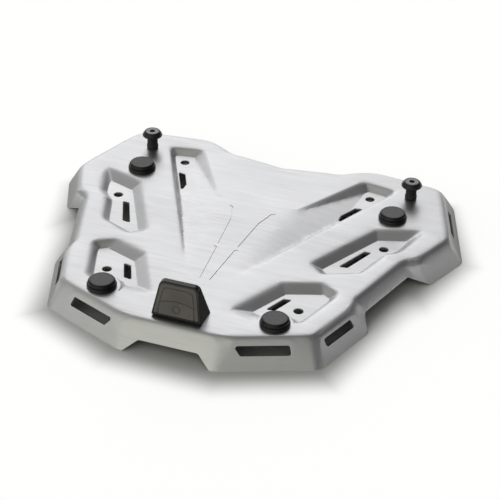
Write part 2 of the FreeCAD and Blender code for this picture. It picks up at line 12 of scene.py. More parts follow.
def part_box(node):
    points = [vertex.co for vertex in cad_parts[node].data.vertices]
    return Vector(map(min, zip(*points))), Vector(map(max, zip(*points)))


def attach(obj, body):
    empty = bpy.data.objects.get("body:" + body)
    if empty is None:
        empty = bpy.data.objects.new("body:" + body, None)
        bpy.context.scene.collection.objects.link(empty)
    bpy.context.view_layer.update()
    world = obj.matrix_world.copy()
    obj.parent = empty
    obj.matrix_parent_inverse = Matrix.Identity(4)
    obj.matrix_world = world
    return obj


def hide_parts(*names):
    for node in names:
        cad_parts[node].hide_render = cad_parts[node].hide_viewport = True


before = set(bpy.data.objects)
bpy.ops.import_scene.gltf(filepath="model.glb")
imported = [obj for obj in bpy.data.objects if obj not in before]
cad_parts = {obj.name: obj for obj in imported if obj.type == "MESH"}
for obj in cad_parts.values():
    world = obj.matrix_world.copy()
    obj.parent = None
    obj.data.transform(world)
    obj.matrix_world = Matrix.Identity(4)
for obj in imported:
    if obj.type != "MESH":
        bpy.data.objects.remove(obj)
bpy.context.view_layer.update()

LOG = logging.getLogger("mounting_plate")
BODY = "root"
MM = 0.001
TOP_FACE = 25.5  # height of the plate's top face in millimetres

Colour = Tuple[float, float, float]
Point = Tuple[float, float, float]
Step = Tuple[float, float]
Span = Tuple[float, float, float, float]
Rings = Tuple[Step, ...]
Tree = bpy.types.NodeTree
Node = bpy.types.Node
Socket = bpy.types.NodeSocket
Piece = bpy.types.Object
Face = bpy.types.MeshPolygon
Tint = Union[Colour, Socket]


class Effect(Enum):
    """Shared surface effects, each built once as a node group."""

    BRUSHED = "brushed_grain"
    MOULDED = "moulded_grain"
    MOTTLE = "soft_mottle"
    # Edge wear, with a groove mask for painted shade.
    WEAR_AND_SHADE = "edge_wear"


class Slot(Enum):
    """Material slots of the record that new pieces take their finish from."""

    ALUMINIUM = "aluminium"
    RUBBER = "pad_rubber"
    BLACK_METAL = "black_metal"
    DARK_STEEL = "dark_steel"
    ZINC = "zinc_steel"
    BLACK_PLASTIC = "black_plastic"
    GREY_PLASTIC = "grey_plastic"


class Mask(Enum):
    """Marks on the plate's faces that its finish reads, where it paints a highlight on the cut edges and
    paints shade over the inner side.
    """

    # Rounded cut edges, where the finish paints a highlight.
    EDGE = "bare_edge"
    # Inner side, where the finish paints shade.
    INNER = "inner_side"


class Skin(Enum):
    """Material index of the plate's faces while it is worked on."""

    SHEET = 0
    CUT_EDGE = 1


Finishes = Dict[Slot, bpy.types.Material]


class NodeSheet:
    """Small helper that adds and links nodes in one node tree."""

    def __init__(self, tree: Tree) -> None:
        """Keeps the node tree that is drawn on."""
        self.tree = tree

    def add(self, kind: str, **sockets: object) -> Node:
        """Adds a node and sets its attributes and input values.

        Args:
            kind: The node's Blender type.
            **sockets: Input names, with underscores for spaces, or attributes of the node.

        Returns:
            The new node.
        """
        node = self.tree.nodes.new(kind)
        for key, value in sockets.items():
            if hasattr(node, key):
                setattr(node, key, value)
            else:
                node.inputs[key.replace("_", " ")].default_value = value
        return node

    def link(self, source: Socket, target: Socket) -> None:
        """Joins an output to an input."""
        self.tree.links.new(source, target)

    def maths(self, operation: str, first: object, second: object = 0.0) -> Socket:
        """Adds a Math node fed by sockets or numbers.

        Args:
            operation: The Math node's operation.
            first: First operand, a socket or a number.
            second: Second operand, a socket or a number.

        Returns:
            The node's result.
        """
        node = self.add("ShaderNodeMath", operation=operation)
        for index, value in enumerate((first, second)):
            if isinstance(value, Socket):
                self.link(value, node.inputs[index])
            else:
                node.inputs[index].default_value = value
        return node.outputs[0]

    def shares(self, first: Socket, first_share: float, second: Socket, second_share: float) -> Socket:
        """Adds two values, each times its share."""
        return self.maths("ADD", self.maths("MULTIPLY", first, first_share),
                          self.maths("MULTIPLY", second, second_share))

    def place(self) -> Socket:
        """Gives the object's own coordinates."""
        return self.add("ShaderNodeTexCoord").outputs["Object"]

    def split(self, vector: Socket) -> bpy.types.NodeOutputs:
        """Gives a vector's X, Y and Z.

        Args:
            vector: The vector.

        Returns:
            Sockets named X, Y and Z.
        """
        node = self.add("ShaderNodeSeparateXYZ")
        self.link(vector, node.inputs["Vector"])
        return node.outputs

    def remap(self, value: Socket, low: float, high: float,
              to_low: float = 0.0, to_high: float = 1.0) -> Socket:
        """Adds a smooth Map Range node.

        Args:
            value: The value to remap.
            low: Input at the lower end.
            high: Input at the upper end.
            to_low: Output at the lower end.
            to_high: Output at the upper end.

        Returns:
            The remapped value.
        """
        node = self.add("ShaderNodeMapRange", interpolation_type="SMOOTHSTEP", From_Min=low, From_Max=high,
                        To_Min=to_low, To_Max=to_high)
        self.link(value, node.inputs["Value"])
        return node.outputs["Result"]


class EffectLibrary:
    """Builds each shared effect's node group the first time it is asked for.

    Lines and drift are waves for each metre along X, Y and Z. Each span is the low and high end of a remapped
    value, with what it becomes at each end where that is not zero and one.
    """

    FINE_LINES: Point = (28.0, 900.0, 900.0)
    COARSE_LINES: Point = (9.0, 260.0, 260.0)
    DRIFT: Point = (6.0, 11.0, 11.0)
    FINE_SHARE = 0.65
    MIDDLE = 0.5
    CELL_SHARE = 0.6
    CLOUD_SPAN: Step = (0.32, 0.68)
    BREAK_SPAN: Span = (0.3, 0.6, 0.35, 1.0)
    GROOVE_SPAN: Span = (0.40, 0.48, 1.0, 0.0)

    def __init__(self) -> None:
        """Starts with no groups built."""
        self._makers: Dict[Effect, Callable[[], Tree]] = {
            Effect.BRUSHED: self._brushed,
            Effect.MOULDED: self._moulded,
            Effect.MOTTLE: self._mottle,
            Effect.WEAR_AND_SHADE: self._wear_and_groove_shade,
        }
        self._made: Dict[Effect, Tree] = {}

    def group(self, effect: Effect) -> Tree:
        """Gives an effect's node group.

        Args:
            effect: Which effect.

        Returns:
            The group's node tree.
        """
        if effect not in self._made:
            self._made[effect] = self._makers[effect]()
        return self._made[effect]

    @staticmethod
    def _shell(effect: Effect, inputs: Dict[str, float], outputs: List[str]) -> Tuple[NodeSheet, Node, Node]:
        """Makes an empty group with its sockets.

        Args:
            effect: Which effect.
            inputs: Names and default values of the inputs.
            outputs: Names of the outputs.

        Returns:
            The sheet to draw on, the group's input node and its output node.
        """
        tree = bpy.data.node_groups.new(effect.value, "ShaderNodeTree")
        for name, value in inputs.items():
            socket = tree.interface.new_socket(name, in_out="INPUT", socket_type="NodeSocketFloat")
            socket.default_value = value
        for name in outputs:
            tree.interface.new_socket(name, in_out="OUTPUT", socket_type="NodeSocketFloat")
        sheet = NodeSheet(tree)
        return sheet, sheet.add("NodeGroupInput"), sheet.add("NodeGroupOutput")

    @staticmethod
    def _stretched_noise(sheet: NodeSheet, scale: Point, detail: float) -> Socket:
        """Adds noise on Object coordinates, scaled by its own amount along each axis.

        Args:
            sheet: The sheet to draw on.
            scale: Waves for each metre along X, Y and Z.
            detail: Octaves of finer noise.

        Returns:
            The noise value.
        """
        mapping = sheet.add("ShaderNodeMapping", Scale=scale)
        noise = sheet.add("ShaderNodeTexNoise", Scale=1.0, Detail=detail, Roughness=0.6)
        sheet.link(sheet.place(), mapping.inputs["Vector"])
        sheet.link(mapping.outputs["Vector"], noise.inputs["Vector"])
        return noise.outputs["Fac"]

    def _brushed(self) -> Tree:
        """Fine straight brush lines along X over a slower drift.

        Returns:
            The group.
        """
        sheet, given, out = self._shell(Effect.BRUSHED, {"Depth": 1.0}, ["Lines", "Drift"])
        fine = self._stretched_noise(sheet, self.FINE_LINES, detail=3.0)
        coarse = self._stretched_noise(sheet, self.COARSE_LINES, detail=2.0)
        both = sheet.shares(fine, self.FINE_SHARE, coarse, 1.0 - self.FINE_SHARE)
        centred = sheet.maths("SUBTRACT", both, self.MIDDLE)
        deepened = sheet.maths("MULTIPLY", centred, given.outputs["Depth"])
        lines = sheet.maths("ADD", deepened, self.MIDDLE)
        drift = self._stretched_noise(sheet, self.DRIFT, detail=2.0)
        sheet.link(lines, out.inputs["Lines"])
        sheet.link(drift, out.inputs["Drift"])
        return sheet.tree

    def _moulded(self) -> Tree:
        """Fine pebbled grain of a moulded surface.

        Returns:
            The group.
        """
        sheet, given, out = self._shell(Effect.MOULDED, {"Scale": 900.0}, ["Height"])
        place = sheet.place()
        cells = sheet.add("ShaderNodeTexVoronoi", feature="SMOOTH_F1", Smoothness=0.6)
        noise = sheet.add("ShaderNodeTexNoise", Detail=3.0, Roughness=0.55)
        for texture in (cells, noise):
            sheet.link(place, texture.inputs["Vector"])
            sheet.link(given.outputs["Scale"], texture.inputs["Scale"])
        mixed = sheet.shares(cells.outputs["Distance"], self.CELL_SHARE,
                             noise.outputs["Fac"], 1.0 - self.CELL_SHARE)
        sheet.link(mixed, out.inputs["Height"])
        return sheet.tree

    def _mottle(self) -> Tree:
        """Slow cloudy variation, for handled and slightly dusty surfaces.

        Returns:
            The group.
        """
        sheet, given, out = self._shell(Effect.MOTTLE, {"Scale": 30.0}, ["Cloud"])
        noise = sheet.add("ShaderNodeTexNoise", Detail=4.0, Roughness=0.62)
        sheet.link(sheet.place(), noise.inputs["Vector"])
        sheet.link(given.outputs["Scale"], noise.inputs["Scale"])
        sheet.link(sheet.remap(noise.outputs["Fac"], *self.CLOUD_SPAN), out.inputs["Cloud"])
        return sheet.tree

    def _wear_and_groove_shade(self) -> Tree:
        """Masks that are one along sharp outer edges, broken up by noise, for wear, and down in narrow
        grooves, for painted shade.

        Returns:
            The group.
        """
        sheet, given, out = self._shell(Effect.WEAR_AND_SHADE, {"Start": 0.53, "Full": 0.6}, ["Edge", "Groove"])
        geometry = sheet.add("ShaderNodeNewGeometry")
        ramp = sheet.add("ShaderNodeMapRange", interpolation_type="SMOOTHSTEP")
        sheet.link(geometry.outputs["Pointiness"], ramp.inputs["Value"])
        sheet.link(given.outputs["Start"], ramp.inputs["From Min"])
        sheet.link(given.outputs["Full"], ramp.inputs["From Max"])
        noise = sheet.add("ShaderNodeTexNoise", Scale=160.0, Detail=3.0)
        sheet.link(sheet.place(), noise.inputs["Vector"])
        broken = sheet.remap(noise.outputs["Fac"], *self.BREAK_SPAN)
        sheet.link(sheet.maths("MULTIPLY", ramp.outputs["Result"], broken), out.inputs["Edge"])
        groove = sheet.remap(geometry.outputs["Pointiness"], *self.GROOVE_SPAN)
        sheet.link(groove, out.inputs["Groove"])
        return sheet.tree


EFFECTS = EffectLibrary()


class SurfaceSheet(NodeSheet):
    """Node sheet of one material, with its surface shader in place."""

    def __init__(self, name: str) -> None:
        """Starts a material with a Principled surface.

        Args:
            name: The material's name.
        """
        self.material = bpy.data.materials.new(name)
        self.material.use_nodes = True
        super().__init__(self.material.node_tree)
        self.surface = self.tree.nodes["Principled BSDF"]

    def effect(self, effect: Effect, **values: float) -> Node:
        """Places a shared effect with its own values.

        Args:
            effect: Which effect.
            **values: Input values of the group.

        Returns:
            The group node.
        """
        node = self.tree.nodes.new("ShaderNodeGroup")
        node.node_tree = EFFECTS.group(effect)
        for name, value in values.items():
            node.inputs[name].default_value = value
        return node

    def blend(self, mask: Socket, low: Tint, high: Tint) -> Socket:
        """Mixes two colours by a mask.

        Args:
            mask: Zero for the first colour, one for the second.
            low: First colour, plain or from a node.
            high: Second colour, plain or from a node.

        Returns:
            The mixed colour.
        """
        node = self.add("ShaderNodeMix", data_type="RGBA")
        sockets = [socket for socket in node.inputs if socket.type == "RGBA"]
        for socket, tint in zip(sockets, (low, high)):
            if isinstance(tint, Socket):
                self.link(tint, socket)
            else:
                socket.default_value = (*tint, 1.0)
        self.link(mask, node.inputs["Factor"])
        return [socket for socket in node.outputs if socket.type == "RGBA"][0]

    def bump(self, height: Socket, distance: float) -> None:
        """Feeds a height into the surface's normal.

        Args:
            height: Height from 0 to 1.
            distance: Real height of 1, in metres.
        """
        node = self.add("ShaderNodeBump", Strength=1.0, Distance=distance)
        self.link(height, node.inputs["Height"])
        self.feed("Normal", node.outputs["Normal"])

    def feed(self, name: str, socket: Socket) -> None:
        """Feeds one of the surface's own inputs."""
        self.link(socket, self.surface.inputs[name])


@dataclass(frozen=True)
class BrushedAluminium:
    """Satin aluminium with fine brush lines across the plate, with a painted highlight on the rounded cut
    edges and painted shade over the inner side.
    """

    slot: Slot = Slot.ALUMINIUM
    tone: Colour = (0.818, 0.82, 0.832)
    deep_tone: Colour = (0.698, 0.70, 0.712)
    rough_span: Span = (0.6, 1.4, 0.42, 0.30)
    line_share: float = 1.3
    line_depth: float = 0.00002
    # Painted highlight: the rounded cut edges are lighter and less metallic, so they stay bright whatever
    # faces them.
    edge_tone: Colour = (0.93, 0.93, 0.925)
    edge_metal: float = 0.35
    # Painted shade: the inner side is darkened to the shade that fills the plate's underside.
    inner_shade_tone: Colour = (0.10, 0.10, 0.10)

    def material(self) -> bpy.types.Material:
        """Builds the finish.

        Returns:
            The material.
        """
        sheet = SurfaceSheet("brushed_aluminium")
        brushed = sheet.effect(Effect.BRUSHED, Depth=self.line_share)
        marks = [sheet.add("ShaderNodeAttribute", attribute_name=mask.value) for mask in Mask]
        edge, inner = (mark.outputs["Fac"] for mark in marks)
        face = sheet.blend(brushed.outputs["Lines"], self.deep_tone, self.tone)
        # The colour and metallic below paint the highlight on the cut edges and the shade over the inner
        # side.
        sheet.feed("Base Color", sheet.blend(inner, sheet.blend(edge, face, self.edge_tone), self.inner_shade_tone))
        sheet.feed("Metallic", sheet.remap(edge, 0.0, 1.0, 1.0, self.edge_metal))
        both = sheet.maths("ADD", brushed.outputs["Lines"], brushed.outputs["Drift"])
        sheet.feed("Roughness", sheet.remap(both, *self.rough_span))
        sheet.bump(brushed.outputs["Lines"], self.line_depth)
        return sheet.material


@dataclass(frozen=True)
class PadRubber:
    """Moulded rubber, smooth and dark round the rim, dull and pebbled on the top disc."""

    slot: Slot = Slot.RUBBER
    rim_tone: Colour = (0.004, 0.004, 0.004)
    top_tone: Colour = (0.225, 0.222, 0.236)
    top_light: Colour = (0.29, 0.288, 0.304)
    rim_rough: float = 0.2
    top_rough: float = 0.72
    top_start: float = 32.14 * MM
    top_full: float = 32.26 * MM
    cloud_scale: float = 400.0
    grain_scale: float = 1500.0
    grain_depth: float = 0.00012

    def material(self) -> bpy.types.Material:
        """Builds the finish.

        Returns:
            The material.
        """
        sheet = SurfaceSheet("pad_rubber")
        top = sheet.remap(sheet.split(sheet.place())["Z"], self.top_start, self.top_full)
        cloud = sheet.effect(Effect.MOTTLE, Scale=self.cloud_scale)
        grain = sheet.effect(Effect.MOULDED, Scale=self.grain_scale)
        disc = sheet.blend(cloud.outputs["Cloud"], self.top_tone, self.top_light)
        sheet.feed("Base Color", sheet.blend(top, self.rim_tone, disc))
        sheet.feed("Roughness", sheet.remap(top, 0.0, 1.0, self.rim_rough, self.top_rough))
        sheet.bump(sheet.maths("MULTIPLY", grain.outputs["Height"], top), self.grain_depth)
        return sheet.material


@dataclass(frozen=True)
class PlainFinish:
    """Moulded, coated or plated finish with a grain, a mottle, worn edges, painted shade in narrow grooves
    and its own gloss.
    """

    slot: Slot
    tone: Colour
    light_tone: Colour
    edge_tone: Colour
    rough: Step
    grain_scale: float = 2500.0
    grain_depth: float = 0.00001
    metallic: float = 0.0
    cloud_scale: float = 60.0
    wear_start: float = 0.53
    wear_full: float = 0.62
    # Share of the tone left in narrow grooves, which paints shade there.
    groove_shade_share: float = 0.2

    def material(self) -> bpy.types.Material:
        """Builds the finish.

        Returns:
            The material.
        """
        sheet = SurfaceSheet(self.slot.value)
        sheet.surface.inputs["Metallic"].default_value = self.metallic
        cloud = sheet.effect(Effect.MOTTLE, Scale=self.cloud_scale)
        grain = sheet.effect(Effect.MOULDED, Scale=self.grain_scale)
        wear_and_shade = sheet.effect(Effect.WEAR_AND_SHADE, Start=self.wear_start, Full=self.wear_full)
        clouded = sheet.blend(cloud.outputs["Cloud"], self.tone, self.light_tone)
        worn = sheet.blend(wear_and_shade.outputs["Edge"], clouded, self.edge_tone)
        # Painted shade: narrow grooves are darkened to a share of the tone.
        painted_groove_shade = tuple(self.groove_shade_share * level for level in self.tone)
        sheet.feed("Base Color", sheet.blend(wear_and_shade.outputs["Groove"], worn, painted_groove_shade))
        sheet.feed("Roughness", sheet.remap(cloud.outputs["Cloud"], 0.0, 1.0, *self.rough))
        sheet.bump(grain.outputs["Height"], self.grain_depth)
        return sheet.material


@dataclass(frozen=True)
class Rounding:
    """How a piece's edges are rounded.

    The width is in millimetres. Edges past the sharp angle in degrees are rounded, or only the marked ones
    where it is zero. Edges past the crisp angle stay crisp in the shading.
    """

    width: float
    sharp: float = 30.0
    crisp: float = 40.0
    segments: int = 3


class Workshop:
    """Modelling steps shared by the pieces."""

    COPY_MERGE = 0.000005
    RING_MERGE = 0.000001
    FLAT_ANGLE = math.radians(0.4)
    RING_CORNERS = 96
    HEXAGON_CORNERS = 6
    HEXAGON_TURN = math.radians(30.0)

    @staticmethod
    def only(piece: Piece) -> None:
        """Makes one object the only selected and active one.

        Args:
            piece: The object.
        """
        bpy.ops.object.select_all(action="DESELECT")
        piece.select_set(True)
        bpy.context.view_layer.objects.active = piece

    @staticmethod
    def merged_copy(node: str, name: str) -> Piece:
        """Copies a node's mesh into a new piece with its loose triangles joined into faces.

        Args:
            node: The node to copy.
            name: The new piece's name.

        Returns:
            The new piece.
        """
        piece = bpy.data.objects.new(name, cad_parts[node].data.copy())
        bpy.context.scene.collection.objects.link(piece)
        piece.data.materials.clear()
        Workshop.only(piece)
        bpy.ops.mesh.customdata_custom_splitnormals_clear()
        bpy.ops.object.mode_set(mode="EDIT")
        bpy.ops.mesh.select_all(action="SELECT")
        bpy.ops.mesh.remove_doubles(threshold=Workshop.COPY_MERGE)
        bpy.ops.mesh.dissolve_limited(angle_limit=Workshop.FLAT_ANGLE)
        bpy.ops.object.mode_set(mode="OBJECT")
        return piece

    @staticmethod
    def turned(name: str, steps: Sequence[Step], bored: bool = False) -> Piece:
        """Raises a round piece ring by ring round the Z axis.

        Args:
            name: The piece's name.
            steps: Radius and height of each ring in millimetres, from the foot up.
            bored: True where the rings come back down a bore and meet the first one.

        Returns:
            The new piece.
        """
        radius, height = steps[0]
        fill = "NOTHING" if bored else "NGON"
        bpy.ops.object.select_all(action="DESELECT")
        bpy.ops.mesh.primitive_circle_add(vertices=Workshop.RING_CORNERS, radius=radius * MM, fill_type=fill,
                                          location=(0.0, 0.0, height * MM))
        piece = bpy.context.active_object
        piece.name = name
        bpy.ops.object.transform_apply(location=True, rotation=True, scale=True)
        bpy.ops.object.mode_set(mode="EDIT")
        bpy.ops.mesh.select_all(action="SELECT")
        for wide, level in steps[1:]:
            rise = (0.0, 0.0, (level - height) * MM)
            share = wide / radius
            bpy.ops.mesh.extrude_region_move(TRANSFORM_OT_translate={"value": rise})
            bpy.ops.transform.resize(value=(share, share, 1.0), center_override=(0.0, 0.0, level * MM))
            radius, height = wide, level
        bpy.ops.mesh.select_all(action="SELECT")
        bpy.ops.mesh.remove_doubles(threshold=Workshop.RING_MERGE)
        bpy.ops.mesh.normals_make_consistent(inside=False)
        bpy.ops.object.mode_set(mode="OBJECT")
        return piece

    @staticmethod
    def sink_hexagon(piece: Piece, flats: float, top: float, depth: float) -> None:
        """Sinks a hexagon socket into the top of a round piece.

        Args:
            piece: The piece, still on the Z axis.
            flats: Size across flats in millimetres.
            top: Height of the piece's top in millimetres.
            depth: Depth of the socket in millimetres.
        """
        bpy.ops.object.select_all(action="DESELECT")
        bpy.ops.mesh.primitive_cylinder_add(
            vertices=Workshop.HEXAGON_CORNERS, radius=flats / math.sqrt(3.0) * MM, depth=2.0 * depth * MM,
            location=(0.0, 0.0, top * MM), rotation=(0.0, 0.0, Workshop.HEXAGON_TURN))
        cutter = bpy.context.active_object
        Workshop.only(piece)
        modifier = piece.modifiers.new("socket", "BOOLEAN")
        modifier.operation = "DIFFERENCE"
        modifier.object = cutter
        bpy.ops.object.modifier_apply(modifier=modifier.name)
        bpy.data.objects.remove(cutter)

    @staticmethod
    def round_edges(piece: Piece, rounding: Rounding) -> None:
        """Rounds a piece's sharp or marked edges, and gives the new faces the piece's last material.

        Args:
            piece: The piece.
            rounding: How its edges are rounded.
        """
        Workshop.only(piece)
        modifier = piece.modifiers.new("round", "BEVEL")
        modifier.width = rounding.width * MM
        modifier.segments = rounding.segments
        modifier.limit_method = "ANGLE" if rounding.sharp else "WEIGHT"
        modifier.angle_limit = math.radians(rounding.sharp)
        modifier.miter_outer = "MITER_ARC"
        modifier.use_clamp_overlap = rounding.sharp > 0.0
        modifier.material = len(piece.data.materials) - 1
        bpy.ops.object.modifier_apply(modifier=modifier.name)

    @staticmethod
    def shade(piece: Piece, crisp: float) -> None:
        """Shades a piece smooth and levels its flats.

        Args:
            piece: The piece.
            crisp: Edges past this angle in degrees stay crisp.
        """
        Workshop.only(piece)
        bpy.ops.object.shade_smooth_by_angle(angle=math.radians(crisp))
        level = piece.modifiers.new("level_flats", "WEIGHTED_NORMAL")
        level.keep_sharp = True
        bpy.ops.object.modifier_apply(modifier=level.name)

    @staticmethod
    def soften(piece: Piece, rounding: Rounding) -> None:
        """Rounds a piece's edges and shades it smooth."""
        Workshop.round_edges(piece, rounding)
        Workshop.shade(piece, rounding.crisp)

    @staticmethod
    def copy_at(piece: Piece, name: str, place: Point) -> Piece:
        """Copies a piece, with its own mesh, to a place.

        Args:
            piece: The piece to copy.
            name: The copy's name.
            place: How far to move it, in millimetres.

        Returns:
            The copy, at the origin with its place in its mesh.
        """
        twin = bpy.data.objects.new(name, piece.data.copy())
        bpy.context.scene.collection.objects.link(twin)
        twin.location = Vector(place) * MM
        Workshop.only(twin)
        bpy.ops.object.transform_apply(location=True, rotation=True, scale=True)
        return twin

    @staticmethod
    def settle(piece: Piece, slot: Slot, finishes: Finishes, *nodes: str) -> None:
        """Gives a piece its finish and its body, and hides the nodes that it stands for.

        Args:
            piece: The finished piece.
            slot: The record's slot that it takes its finish from.
            finishes: The material of each slot.
            *nodes: Nodes that it replaces.
        """
        piece.data.materials.clear()
        piece.data.materials.append(finishes[slot])
        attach(piece, BODY)
        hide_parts(*nodes)
        LOG.info("%s: %d faces", piece.name, len(piece.data.polygons))


@dataclass
class Footprint:
    """Outline of the plate's rim on the floor, as straight sides that are the same on the left and right.

    The outline is a front block and a back block. Each side of a block is the X and Y of its outward
    direction and its distance from the middle in millimetres.
    """

    blocks: Tuple[Tuple[Point, ...], ...] = (
        ((0.0, -1.0, 174.0), (0.383, -0.924, 178.6), (0.944, -0.331, 167.4), (0.956, -0.293, 162.0),
         (0.0, 1.0, 40.0)),
        ((0.0, -1.0, 0.0), (0.925, -0.381, 161.9), (0.949, 0.316, 213.6), (0.121, 0.993, 184.3),
         (-0.159, 0.987, 147.8)))

    def depth(self, x: float, y: float) -> float:
        """Distance of a point inside the outline in millimetres, below zero outside."""
        return -min(max(wide * abs(x) + deep * y - limit for wide, deep, limit in sides)
                    for sides in self.blocks)


def pad_places() -> Dict[str, Step]:
    """Finds where the pads sit.

    Returns:
        The middle of each pad across and along the plate in millimetres, by its node.
    """
    places = {}
    for corner in ("back_left", "back_right", "front_left", "front_right"):
        node = "pad_" + corner
        low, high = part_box(node)
        places[node] = ((low[0] + high[0]) / 2.0 / MM, (low[1] + high[1]) / 2.0 / MM)
    return places


@dataclass
class PressedPlate:
    """The pressed aluminium plate.

    Lengths are in millimetres and angles in degrees. A slope is the upward share of a face's normal.
    """

    rim: Rounding = Rounding(0.9, sharp=0.0, crisp=34.0, segments=4)
    slot_round: float = 0.6
    cut_depth: float = 1.6
    rim_level: float = 13.0
    rim_top: float = 1.0
    sharp_angle: float = 40.0
    grid: float = 3.0
    grid_half: float = 201.0
    grid_deep: float = 174.0
    skin_slope: float = 0.3
    floor_level: float = 24.4
    floor_slope: float = 0.97
    skirt_margin: float = 22.0
    slot_clear: float = 6.0
    skirt_low: float = 8.0
    pad_clear: float = 17.6
    smooth_factor: float = 0.5
    skirt_passes: int = 46
    mouth_passes: int = 42

    def build(self, finishes: Finishes) -> None:
        """Copies the plate, rounds its cut edges, draws its folds soft and dresses it.

        Args:
            finishes: The material of each slot.
        """
        piece = Workshop.merged_copy("plate", "pressed_plate")
        for _ in Skin:
            piece.data.materials.append(finishes[Slot.ALUMINIUM])
        self._weigh_cuts(piece)
        Workshop.round_edges(piece, self.rim)
        self._level_rim(piece)
        self._grid_skin(piece)
        self._soften_folds(piece, skirt=True)
        self._soften_folds(piece, skirt=False)
        Workshop.shade(piece, self.rim.crisp)
        self._mark_faces(piece)
        Workshop.settle(piece, Slot.ALUMINIUM, finishes, "plate")

    def _is_skin(self, face: Face) -> bool:
        """Tells whether a face is on the plate's outer side."""
        return face.normal.z > self.skin_slope and face.material_index == Skin.SHEET.value

    def _weigh_cuts(self, piece: Piece) -> None:
        """Marks the outer edges of the rim, slots and holes for rounding.

        Args:
            piece: The plate's copy.
        """
        mesh = piece.data
        sides = {}
        for face in mesh.polygons:
            for key in face.edge_keys:
                sides.setdefault(key, []).append(face)
        weights = []
        for edge in mesh.edges:
            faces = sides[edge.key]
            outer = [face for face in faces if self._is_skin(face)]
            cut = [face for face in faces if not self._is_skin(face)]
            marked = outer and cut and self._is_cut(mesh, outer[0], cut[0])
            height = max(mesh.vertices[index].co.z for index in edge.vertices) / MM
            share = 1.0 if height < self.rim_top else self.slot_round / self.rim.width
            weights.append(share if marked else 0.0)
        mesh.attributes.new("bevel_weight_edge", "FLOAT", "EDGE").data.foreach_set("value", weights)

    def _is_cut(self, mesh: bpy.types.Mesh, outer: Face, cut: Face) -> bool:
        """Tells whether a face goes through the sheet at a sharp edge of its outer side.

        Args:
            mesh: The plate's mesh.
            outer: Face of the outer side.
            cut: Its neighbour.

        Returns:
            True for the rim and for the walls of slots and holes, False for the pressed lines.
        """
        heights = [mesh.vertices[index].co.z / MM for index in cut.vertices]
        through = max(heights) - min(heights) > self.cut_depth or min(heights) < self.rim_level
        return through and outer.normal.angle(cut.normal) > math.radians(self.sharp_angle)

    @staticmethod
    def _level_rim(piece: Piece) -> None:
        """Keeps the rounded rim from reaching below the floor."""
        for vertex in piece.data.vertices:
            vertex.co.z = max(vertex.co.z, 0.0)

    def _mark_faces(self, piece: Piece) -> None:
        """Writes the rounded cut edges and the inner side into masks that the finish reads, to paint a
        highlight on the edges and shade over the inner side.

        Args:
            piece: The plate's copy.
        """
        faces = piece.data.polygons
        cut = [face.material_index == Skin.CUT_EDGE.value for face in faces]
        edges = [float(rounded) for rounded in cut]
        inner = [float(not rounded and face.normal.z < -self.skin_slope) for face, rounded in zip(faces, cut)]
        for mask, marks in ((Mask.EDGE, edges), (Mask.INNER, inner)):
            piece.data.attributes.new(mask.value, "FLOAT", "FACE").data.foreach_set("value", marks)
        faces.foreach_set("material_index", [Skin.SHEET.value] * len(cut))

    def _grid_skin(self, piece: Piece) -> None:
        """Cuts the outer side into small squares, so that it can be smoothed.

        Args:
            piece: The plate's copy.
        """
        Workshop.only(piece)
        bpy.ops.object.mode_set(mode="EDIT")
        bpy.ops.mesh.select_mode(type="FACE")
        bpy.ops.mesh.select_all(action="DESELECT")
        bpy.ops.object.mode_set(mode="OBJECT")
        for face in piece.data.polygons:
            face.select = self._is_skin(face)
        bpy.ops.object.mode_set(mode="EDIT")
        bpy.ops.mesh.hide(unselected=True)
        for axis, half in (((1.0, 0.0, 0.0), self.grid_half), ((0.0, 1.0, 0.0), self.grid_deep)):
            for step in range(int(2.0 * half / self.grid) + 1):
                place = Vector(axis) * (step * self.grid - half) * MM
                bpy.ops.mesh.select_all(action="SELECT")
                bpy.ops.mesh.bisect(plane_co=place, plane_no=axis)
        bpy.ops.mesh.reveal(select=False)
        bpy.ops.mesh.select_mode(type="VERT")
        bpy.ops.mesh.select_all(action="DESELECT")
        bpy.ops.object.mode_set(mode="OBJECT")

    def _soften_folds(self, piece: Piece, skirt: bool) -> None:
        """Smooths folds of the outer side, and leaves cut edges, recess floors and pad seats as they are.

        Args:
            piece: The plate's copy, with its outer side cut into squares.
            skirt: True for the skirt and its top edge, False for the mouths of the recesses.
        """
        outline = Footprint()
        skin, fixed = set(), set()
        for face in piece.data.polygons:
            (skin if self._is_skin(face) else fixed).update(face.vertices)
        floors = self._floor_points(piece)
        cuts = self._tree([piece.data.vertices[index].co / MM for index in skin & fixed])
        pads = [Vector(place) for place in pad_places().values()]
        for index in skin - fixed:
            place = piece.data.vertices[index].co / MM
            if (outline.depth(place.x, place.y) < self.skirt_margin) != skirt:
                continue
            if skirt:
                free = cuts.find(place)[2] > self.slot_clear and place.z > self.skirt_low
            else:
                seated = min((place.xy - pad).length for pad in pads) < self.pad_clear
                free = index not in floors and not seated
            piece.data.vertices[index].select = free
        Workshop.only(piece)
        bpy.ops.object.mode_set(mode="EDIT")
        passes = self.skirt_passes if skirt else self.mouth_passes
        bpy.ops.mesh.vertices_smooth(factor=self.smooth_factor, repeat=passes)
        bpy.ops.mesh.select_all(action="DESELECT")
        bpy.ops.object.mode_set(mode="OBJECT")

    def _floor_points(self, piece: Piece) -> Set[int]:
        """Finds the points inside the recess floors, which stay flat.

        Args:
            piece: The plate's copy.

        Returns:
            Indices of the points.
        """
        flat, steep = set(), set()
        for face in piece.data.polygons:
            level = face.normal.z > self.floor_slope and face.center.z / MM < self.floor_level
            (flat if level else steep).update(face.vertices)
        return flat - steep

    @staticmethod
    def _tree(places: Sequence[Vector]) -> KDTree:
        """Makes a tree that finds the nearest of some places.

        Args:
            places: The places.

        Returns:
            The tree.
        """
        tree = KDTree(len(places))
        for index, place in enumerate(places):
            tree.insert(place, index)
        tree.balance()
        return tree


